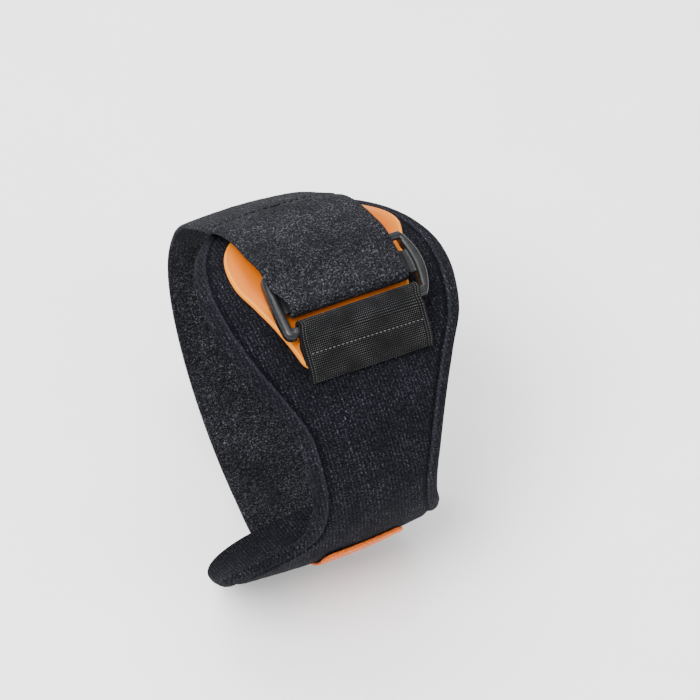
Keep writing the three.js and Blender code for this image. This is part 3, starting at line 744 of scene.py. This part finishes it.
def make_tab():
    """The hook tab on the body's underside, its tip towards the front."""
    tip_turns = eased(TAB_TIP_TURN + 0.05, TAB_TIP_TURN + 6, 20)
    turns = np.concatenate([tip_turns, np.linspace(TAB_TIP_TURN + 6, TAB_ROOT_TURN, 60)[1:]])[::-1]
    edge = 0.35
    corner = round_end((turns - TAB_TIP_TURN) * ARC_PER_DEGREE, TAB_CORNER, 2)
    half = TAB_HALF - TAB_CORNER + TAB_CORNER * corner - edge
    shares = np.linspace(-1, 1, 44)
    x = -STRAP_SIDE_RUN + half[:, None] * shares
    lift = BODY_THICKNESS + CLEARANCE + TAB_THICKNESS / 2
    middle = wrap(turns[:, None], x, lift)
    hooks = relief(middle, TAB_RELIEF)
    along = turns * ARC_PER_DEGREE
    return make_ribbon("tab_hooks", middle, along, TAB_THICKNESS, TAB_HALF, hooks, 0 * hooks, edge)


# The ring's ends: the right one is bowed, the left one nearly straight.
RING_ENDS = (
    {"side": 1, "bow": 1.9, "corner": 2.8, "lip": 0.9, "soft": 0.7},
    {"side": -1, "bow": 0.3, "corner": 3.0, "lip": 0.7, "soft": 1.25},
)
# The middle bar's top steps down before it meets the ends.
BAR_STEP_START = 19.4
BAR_STEP_DEPTH = 0.95
BAR_STEP_RUN = 0.9
RING_VOXEL = 0.22


def end_outline(bow, corner, lip, inset, count=14):
    """One end of the ring seen from above, drawn in by the inset, as a closed run of points."""
    top = RING_HALF_HEIGHT - inset
    outer = RING_HALF_WIDTH - inset
    inner = RING_INNER_HALF + inset
    root = RING_INNER_HALF - lip
    turn_y = top - corner
    corner_x = max(outer - bow - 2 * bow * corner / turn_y, root)
    lower = -RING_HALF_HEIGHT + LOWER_BAR_WIDTH - inset
    upper = RING_HALF_HEIGHT - UPPER_BAR_WIDTH + inset
    t = np.linspace(0, 1, count)[:, None]

    def curve(start, control, end):
        start, control, end = (np.array(p, float) for p in (start, control, end))
        return ((1 - t) ** 2 * start + 2 * t * (1 - t) * control + t**2 * end)[:-1]

    inner_end = inner - bow / 2
    return np.concatenate([
        curve((root, -top), (corner_x, -top), (outer - bow, -turn_y)),
        curve((outer - bow, -turn_y), (outer + bow, 0), (outer - bow, turn_y)),
        curve((outer - bow, turn_y), (corner_x, top), (root, top)),
        curve((root, top), (root, (top + upper) / 2), (root, upper)),
        curve((root, upper), (inner_end, upper), (inner_end, upper - corner / 2)),
        curve(
            (inner_end, upper - corner / 2), (inner + bow / 2, 0), (inner_end, lower + corner / 2)
        ),
        curve((inner_end, lower + corner / 2), (inner_end, lower), (root, lower)),
        curve((root, lower), (root, (lower - top) / 2), (root, -top)),
    ])


# The upper rim's rounding, down from the top and in from the side, times its softness.
RIM_ROUNDING = ((1.1, 0), (0.57, 0.17), (0.2, 0.51), (0, 1))


def end_block(side, bow, corner, lip, soft):
    """A ring end with a rounded lower rim, and an upper one drawn in by its softness."""
    high = BAR_LEVEL + BAR_THICKNESS / 2
    low = high - RING_END_HEIGHT
    rims = [(low, 0.5), (low + 0.2, 0.2), (low + 0.55, 0)]
    rims += [(high - fall * soft, inset * soft) for fall, inset in RIM_ROUNDING]
    points = []
    for level, inset in rims:
        outline = end_outline(bow, corner, lip, inset) * [side, side]
        points.extend([*p, level] for p in outline)
    return points, stacked_faces(len(points) // len(rims), len(rims))


def bar(centre, width, length, step=0.0):
    """A rounded oblong bar across the ring. A step lowers its top near both ends."""
    radius = BAR_THICKNESS / 2
    flat = width / 2 - radius
    angles = np.radians(np.linspace(-90, 90, 11))
    front = [(-flat - radius * math.cos(a), -radius * math.sin(a)) for a in angles]
    rear = [(flat + radius * math.cos(a), radius * math.sin(a)) for a in angles]
    section = front + rear
    near = BAR_STEP_START + BAR_STEP_RUN
    half = [(-length, step), (-near, step), (-BAR_STEP_START, 0)]
    stations = half + [(-x, drop) for x, drop in half[::-1]]
    points = []
    for x, drop in stations:
        points.extend([x, centre + y, BAR_LEVEL + min(z, radius - drop)] for y, z in section)
    return points, stacked_faces(len(section), len(stations), -1)


def make_ring():
    """The three-bar ring, fused and softened as a moulding."""
    bodies = [end_block(**end) for end in RING_ENDS]
    reach = RING_INNER_HALF - 0.3
    bodies.append(bar(-RING_HALF_HEIGHT + LOWER_BAR_WIDTH / 2, LOWER_BAR_WIDTH, reach))
    bodies.append(bar(MIDDLE_BAR_SHIFT, MIDDLE_BAR_WIDTH, RING_INNER_HALF + 1, BAR_STEP_DEPTH))
    bodies.append(bar(RING_HALF_HEIGHT - UPPER_BAR_WIDTH / 2, UPPER_BAR_WIDTH, reach))
    points = []
    faces = []
    for some_points, some_faces in bodies:
        faces.extend([[v + len(points) for v in face] for face in some_faces])
        points.extend(some_points)
    local = np.array(points, float)
    local[:, 0] += RING_LEAN * local[:, 1]
    placed = on_seat(local[:, 0] + RING_SHIFT, local[:, 1], local[:, 2])
    ring = make_object("ring_moulding", placed, faces)
    remesh = ring.modifiers.new("fuse", "REMESH")
    remesh.mode = "VOXEL"
    remesh.voxel_size = RING_VOXEL * MM
    remesh.use_smooth_shade = True
    smooth = ring.modifiers.new("soften", "SMOOTH")
    smooth.factor = 0.5
    smooth.iterations = 4
    return ring


def make_stitches(name, path, normals, length, radius, seed):
    """A row of short thread stitches, one at each point of the path."""
    rng = np.random.default_rng(seed)
    path = np.asarray(path)
    sides = 8
    rings = 7
    points = []
    faces = []
    tangents = unit(np.gradient(path, axis=0))
    for centre, tangent, normal in zip(path, tangents, np.asarray(normals)):
        across = np.cross(normal, tangent)
        slant = rng.uniform(-0.12, 0.12)
        tangent = unit(tangent + across * slant)
        reach = length * rng.uniform(0.92, 1.06)
        base = len(points)
        for ring in range(rings):
            t = -1 + 2 * ring / (rings - 1)
            girth = radius * math.sqrt(max(1 - 0.96 * t * t, 0.02))
            sink = -0.35 * radius - 1.5 * radius * abs(t) ** 3
            spine = centre + tangent * reach / 2 * t + normal * (radius + sink)
            for side in range(sides):
                angle = 2 * math.pi * side / sides
                out = math.cos(angle) * across + math.sin(angle) * normal
                points.append(spine + girth * out)
        faces.extend([base + v for v in face] for face in stacked_faces(sides, rings))
    return make_object(name, points, faces)


def stitch_row(name, middle, along, distance, lift, shares, length, radius, seed, facing=1):
    """Stitches across a ribbon at a distance along it, on its face or, facing -1, its back."""
    normals = facing * grid_normals(middle)[0]
    row = int(np.argmin(np.abs(along - distance)))
    columns = (shares + 1) / 2 * (middle.shape[1] - 1)
    path = []
    outs = []
    for column in columns:
        j = int(np.clip(column, 0, middle.shape[1] - 2))
        t = column - j
        normal = unit(normals[row, j] * (1 - t) + normals[row, j + 1] * t)
        path.append(middle[row, j] * (1 - t) + middle[row, j + 1] * t + normal * lift)
        outs.append(normal)
    return make_stitches(name, path, outs, length, radius, seed)


# Materials.
def set_inputs(made, **inputs):
    for key, value in inputs.items():
        made.inputs[key.replace("_", " ")].default_value = value


def new_material(name, color, roughness, **inputs):
    material = bpy.data.materials.new(name)
    material.use_nodes = True
    shader = material.node_tree.nodes["Principled BSDF"]
    set_inputs(shader, Base_Color=(*color, 1), Roughness=roughness, **inputs)
    return material, shader


def node(material, kind, **inputs):
    made = material.node_tree.nodes.new(kind)
    set_inputs(made, **inputs)
    return made


def link(material, source, target):
    material.node_tree.links.new(source, target)


def maths(material, operation, *values, clamp=False):
    made = material.node_tree.nodes.new("ShaderNodeMath")
    made.operation = operation
    made.use_clamp = clamp
    for slot, value in enumerate(values):
        if isinstance(value, (int, float)):
            made.inputs[slot].default_value = value
        else:
            link(material, value, made.inputs[slot])
    return made.outputs[0]


def ramp(material, source, stops):
    made = material.node_tree.nodes.new("ShaderNodeValToRGB")
    link(material, source, made.inputs[0])
    elements = made.color_ramp.elements
    while len(elements) < len(stops):
        elements.new(0.5)
    for element, (position, color) in zip(elements, stops):
        element.position = position
        element.color = (*color, 1)
    return made.outputs[0]


def grey_ramp(material, source, *stops):
    return ramp(material, source, [(place, (value,) * 3) for place, value in stops])


def place_of(material):
    """A point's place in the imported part's frame, in metres."""
    return node(material, "ShaderNodeTexCoord").outputs["Object"]


def inset_of(material):
    """A point's distance from the cut edge, in centimetres."""
    made = node(material, "ShaderNodeAttribute")
    made.attribute_name = "inset"
    return maths(material, "DIVIDE", made.outputs["Fac"], 10.0)


def flat_of(material):
    """A point's place on the cut cloth: across, along, and which side."""
    made = node(material, "ShaderNodeAttribute")
    made.attribute_name = "flat"
    split = node(material, "ShaderNodeSeparateXYZ")
    link(material, made.outputs["Vector"], split.inputs[0])
    return split.outputs


def noise(material, vector, scale, detail=2.0, distortion=0.0):
    made = node(
        material, "ShaderNodeTexNoise", Scale=scale, Detail=detail, Distortion=distortion
    )
    link(material, vector, made.inputs["Vector"])
    return made.outputs[0]


def bump(material, shader, height, strength, distance):
    made = node(material, "ShaderNodeBump", Strength=strength, Distance=distance)
    link(material, height, made.inputs["Height"])
    link(material, made.outputs[0], shader.inputs["Normal"])


# The body border's tone at distances from the cut edge, in centimetres: half grey changes
# nothing, lighter is a painted highlight on the ridge and darker painted shade in the channel.
BORDER_LIGHT_AND_SHADE = (
    (0.0, 0.5), (0.24, 0.52), (0.32, 0.62), (0.37, 0.56), (0.41, 0.3), (0.48, 0.36), (0.56, 0.5)
)


def worms(material, vector, scale, width):
    """Short curved threads of pile: where a fine noise crosses its middle value."""
    field = noise(material, vector, scale, detail=1.0, distortion=0.6)
    off = maths(material, "ABSOLUTE", maths(material, "SUBTRACT", field, 0.5))
    line = maths(material, "SUBTRACT", 1.0, maths(material, "DIVIDE", off, width), clamp=True)
    breaks = noise(material, vector, scale * 0.9, detail=2.0)
    kept = maths(material, "MULTIPLY_ADD", breaks, 5.0, -2.2, clamp=True)
    return maths(material, "MULTIPLY", line, kept)


PILE_SCALE = 1850.0
BODY_DARK = (0.0015, 0.0016, 0.003)
BODY_LIGHT = (0.15, 0.153, 0.19)
BODY_COLUMNS = 1.15
STRAP_DARK = (0.0022, 0.0023, 0.0036)
STRAP_LIGHT = (0.24, 0.243, 0.275)


def velour(name, dark, light, share, columns=0.0, border=False):
    """Looped pile: short lit threads over a dark ground. The optional border adds a painted
    highlight on its ridge and painted shade in its channel.
    """
    material, shader = new_material(
        name, dark, 0.92, Specular_IOR_Level=0.05,
        Sheen_Weight=0.015, Sheen_Roughness=0.5, Sheen_Tint=(0.75, 0.78, 0.9, 1),
    )
    place = place_of(material)
    pile = worms(material, place, PILE_SCALE, 0.09)
    fine = worms(material, place, PILE_SCALE * 1.9, 0.08)
    both = maths(material, "MAXIMUM", pile, maths(material, "MULTIPLY", fine, 0.5))
    patches = noise(material, place, 90.0, detail=3.0)
    lit = maths(material, "MULTIPLY", both, maths(material, "MULTIPLY_ADD", patches, 1.3, share))
    if columns:
        across = flat_of(material)[0]
        wave = maths(material, "SINE", maths(material, "MULTIPLY", across, 2 * math.pi / columns))
        rows = maths(material, "MULTIPLY_ADD", wave, 0.38, 0.7)
        lit = maths(material, "MULTIPLY", lit, rows)
    if border:
        # Painted highlight on the border's raised ridge and painted shade in its pressed channel.
        painted_border_shading = grey_ramp(material, inset_of(material), *BORDER_LIGHT_AND_SHADE)
        lit = maths(material, "ADD", lit, painted_border_shading)
        lit = maths(material, "SUBTRACT", lit, 0.5, clamp=True)
    middle = tuple((a + b) / 3.4 for a, b in zip(dark, light))
    color = ramp(material, lit, ((0.0, dark), (0.45, middle), (1.0, light)))
    link(material, color, shader.inputs["Base Color"])
    height = maths(material, "ADD", both, noise(material, place, PILE_SCALE * 0.6, detail=3.0))
    bump(material, shader, height, 0.8, 0.0005)
    return material


# The plate's tone at distances from its edge, in centimetres: a painted highlight at
# the rim's edge, then darker painted shade further in towards the ring.
RIM_LIGHT_AND_SHADE = ((0.0, 0.6), (0.03, 0.78), (0.08, 0.5), (0.2, 0.44), (0.5, 0.37), (0.9, 0.33))
PLATE_COLORS = ((0.2, (0.33, 0.06, 0.0)), (0.5, (0.48, 0.104, 0.0)), (1.0, (0.85, 0.3, 0.015)))


def plate_material():
    material, shader = new_material(
        "moulded_orange", (0.55, 0.13, 0.0), 0.45, Specular_IOR_Level=0.12,
        Subsurface_Weight=0.05, Subsurface_Radius=(0.004, 0.0012, 0.0003), Subsurface_Scale=0.4,
    )
    place = place_of(material)
    clouds = noise(material, place, 45.0, detail=3.0)
    # Painted highlight along the rim and painted shade further in, with random clouds added.
    rim = grey_ramp(material, inset_of(material), *RIM_LIGHT_AND_SHADE)
    tone = maths(material, "MULTIPLY_ADD", clouds, 0.3, rim)
    color = ramp(material, tone, PLATE_COLORS)
    link(material, color, shader.inputs["Base Color"])
    grain = noise(material, place, 4200.0, detail=2.0)
    bump(material, shader, grain, 0.08, 0.0001)
    wear = grey_ramp(material, noise(material, place, 260.0, detail=4.0), (0.3, 0.3), (0.75, 0.42))
    link(material, wear, shader.inputs["Roughness"])
    return material


RING_COLORS = ((0.3, (0.006, 0.0065, 0.007)), (0.8, (0.012, 0.0125, 0.014)))


def ring_material():
    material, shader = new_material(
        "moulded_black", (0.012, 0.013, 0.014), 0.38, Specular_IOR_Level=0.27
    )
    place = place_of(material)
    grain = noise(material, place, 2600.0, detail=3.0)
    bump(material, shader, grain, 0.12, 0.00012)
    wear = grey_ramp(material, noise(material, place, 320.0, detail=4.0), (0.3, 0.2), (0.75, 0.36))
    link(material, wear, shader.inputs["Roughness"])
    tone = ramp(material, noise(material, place, 180.0), RING_COLORS)
    link(material, tone, shader.inputs["Base Color"])
    return material


WEBBING_COLORS = (
    (0.0, (0.002, 0.002, 0.0024)),
    (0.45, (0.006, 0.0062, 0.0065)),
    (1.0, (0.16, 0.163, 0.163)),
)
THREAD_PITCH = 0.62
CORD_TWIST = 0.7


def webbing_material():
    """Ribbed elastic: light threads crossing each rib, and lighter cords at both selvedges."""
    material, shader = new_material(
        "elastic_webbing", (0.02, 0.02, 0.024), 0.7, Specular_IOR_Level=0.07, Sheen_Weight=0.02
    )
    across, along = flat_of(material)[:2]
    place = place_of(material)
    jitter = maths(material, "MULTIPLY_ADD", noise(material, place, 900.0), 1.4, -0.7)
    rib = maths(material, "COSINE", maths(material, "MULTIPLY", along, 2 * math.pi / RIB_PITCH))
    crest = maths(material, "MULTIPLY_ADD", rib, 0.5, 0.5)
    warp = maths(material, "MULTIPLY_ADD", across, 2 * math.pi / THREAD_PITCH, jitter)
    thread = maths(material, "MULTIPLY_ADD", maths(material, "SINE", warp), 0.5, 0.5)
    dash = maths(material, "POWER", maths(material, "MULTIPLY", crest, thread), 2.0)
    patch = noise(material, place, 160.0, detail=3.0)
    dash = maths(material, "MULTIPLY", dash, maths(material, "MULTIPLY_ADD", patch, 1.2, 0.25))
    edge = maths(material, "ABSOLUTE", across)
    cords = None
    for inset in SELVEDGE_CORDS:
        off = maths(material, "ABSOLUTE", maths(material, "SUBTRACT", edge, WEBBING_HALF - inset))
        cord = maths(material, "SUBTRACT", 1.0, maths(material, "DIVIDE", off, 0.3), clamp=True)
        cords = cord if cords is None else maths(material, "MAXIMUM", cords, cord)
    twist = maths(material, "SINE", maths(material, "MULTIPLY", along, 2 * math.pi / CORD_TWIST))
    cords = maths(material, "MULTIPLY", cords, maths(material, "MULTIPLY_ADD", twist, 0.25, 0.6))
    inside = maths(material, "LESS_THAN", edge, WEBBING_HALF - 1.9)
    lit = maths(material, "MAXIMUM", maths(material, "MULTIPLY", dash, inside), cords)
    color = ramp(material, lit, WEBBING_COLORS)
    link(material, color, shader.inputs["Base Color"])
    height = maths(material, "MULTIPLY_ADD", crest, 0.6, maths(material, "MULTIPLY", thread, 0.4))
    bump(material, shader, height, 0.55, 0.0002)
    return material


HOOK_COLORS = ((0.0, (0.74, 0.19, 0.03)), (0.55, (0.5, 0.09, 0.008)))


def hook_material():
    material, shader = new_material(
        "hook_tape", (0.7, 0.17, 0.03), 0.8, Specular_IOR_Level=0.2,
        Sheen_Weight=0.05, Sheen_Tint=(1.0, 0.7, 0.45, 1),
    )
    place = place_of(material)
    cells = node(material, "ShaderNodeTexVoronoi", Scale=1300.0)
    link(material, place, cells.inputs["Vector"])
    hooks = ramp(material, cells.outputs["Distance"], HOOK_COLORS)
    link(material, hooks, shader.inputs["Base Color"])
    height = maths(material, "SUBTRACT", 1.0, cells.outputs["Distance"])
    bump(material, shader, height, 0.8, 0.0004)
    return material


def thread_material(name, color):
    material, shader = new_material(name, color, 0.6, Specular_IOR_Level=0.1)
    place = place_of(material)
    twist = noise(material, place, 2500.0, detail=2.0)
    shade = ramp(material, twist, ((0.25, tuple(c * 0.6 for c in color)), (0.75, color)))
    link(material, shade, shader.inputs["Base Color"])
    bump(material, shader, twist, 0.4, 0.0001)
    return material


def dress(piece, material, slot, *replaced):
    piece.data.materials.clear()
    piece.data.materials.append(material)
    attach(piece, "root")
    if replaced:
        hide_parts(*replaced)


make_camera()

body = make_body()
body_cloth = velour("body_pile", BODY_DARK, BODY_LIGHT, 0.07, BODY_COLUMNS, border=True)
dress(body, body_cloth, "velour_body", "body")

plate = make_plate()
dress(plate, plate_material(), "plate_plastic", "pressure_plate")

ring = make_ring()
dress(ring, ring_material(), "ring_plastic", "ring")

strap, strap_grid, strap_along, seam_at = make_strap()
strap_cloth = velour("strap_pile", STRAP_DARK, STRAP_LIGHT, 0.1)
dress(strap, strap_cloth, "velour_strap", "strap")

webbing, webbing_grid, webbing_along, webbing_places = make_webbing()
dress(webbing, webbing_material(), "webbing", "elastic_loop")

tab = make_tab()
dress(tab, hook_material(), "hook_tape", "hook_tab")

grey_thread = thread_material("grey_thread", (0.14, 0.14, 0.145))
black_thread = thread_material("black_thread", (0.004, 0.004, 0.005))

loop_seam = webbing_places[-7:-5].mean()
loop_stitches = stitch_row(
    "loop_stitches", webbing_grid, webbing_along, loop_seam, lift=WEBBING_THICKNESS / 2 + 0.1,
    shares=np.linspace(-0.9, 0.9, 27), length=0.74, radius=0.15, seed=31, facing=-1,
)
dress(loop_stitches, grey_thread, "webbing")

seam_stitches = stitch_row(
    "seam_stitches", strap_grid, strap_along, seam_at, lift=STRAP_THICKNESS / 2 + 0.02,
    shares=np.linspace(-0.9, 0.9, 19), length=1.7, radius=0.2, seed=32,
)
dress(seam_stitches, black_thread, "velour_strap")

# A short bar tack just in front of the seam, near the middle of the strap.
bar_tack = stitch_row(
    "bar_tack", strap_grid, strap_along, seam_at - 1.6, lift=STRAP_THICKNESS / 2 + 0.05,
    shares=np.linspace(-0.03, 0.07, 3), length=1.3, radius=0.3, seed=33,
)
dress(bar_tack, black_thread, "velour_strap")


def make_floor():
    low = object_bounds()[0].z
    size = 3.0
    mesh = bpy.data.meshes.new("floor")
    corners = [(-size, -size, low), (size, -size, low), (size, size, low), (-size, size, low)]
    mesh.from_pydata(corners, [], [(0, 1, 2, 3)])
    floor = bpy.data.objects.new("floor", mesh)
    bpy.context.collection.objects.link(floor)
    material, shader = new_material("floor_paper", (0.93, 0.93, 0.93), 0.9)
    paper = noise(material, place_of(material), 30.0, detail=4.0)
    tone = grey_ramp(material, paper, (0.3, 0.965), (0.7, 0.985))
    link(material, tone, shader.inputs["Base Color"])
    mesh.materials.append(material)


def make_light(name, place, size, power):
    data = bpy.data.lights.new(name, "AREA")
    data.shape = "DISK"
    data.size = size
    data.energy = power
    light = bpy.data.objects.new(name, data)
    light.location = place
    light.rotation_mode = "QUATERNION"
    light.rotation_quaternion = (-Vector(place)).to_track_quat("-Z", "Y")
    bpy.context.collection.objects.link(light)


def make_lights():
    make_light("key", (-0.45, -0.1, 0.95), size=0.7, power=20)
    make_light("top", (0.1, 0.55, 1.0), size=0.9, power=12)
    make_light("fill", (0.7, -0.8, 0.6), size=0.9, power=6)
    world = bpy.data.worlds.new("studio")
    world.use_nodes = True
    background = world.node_tree.nodes["Background"]
    background.inputs["Color"].default_value = (1, 1, 1, 1)
    background.inputs["Strength"].default_value = 1.1
    bpy.context.scene.world = world


make_floor()
make_lights()

bpy.context.view_layer.update()
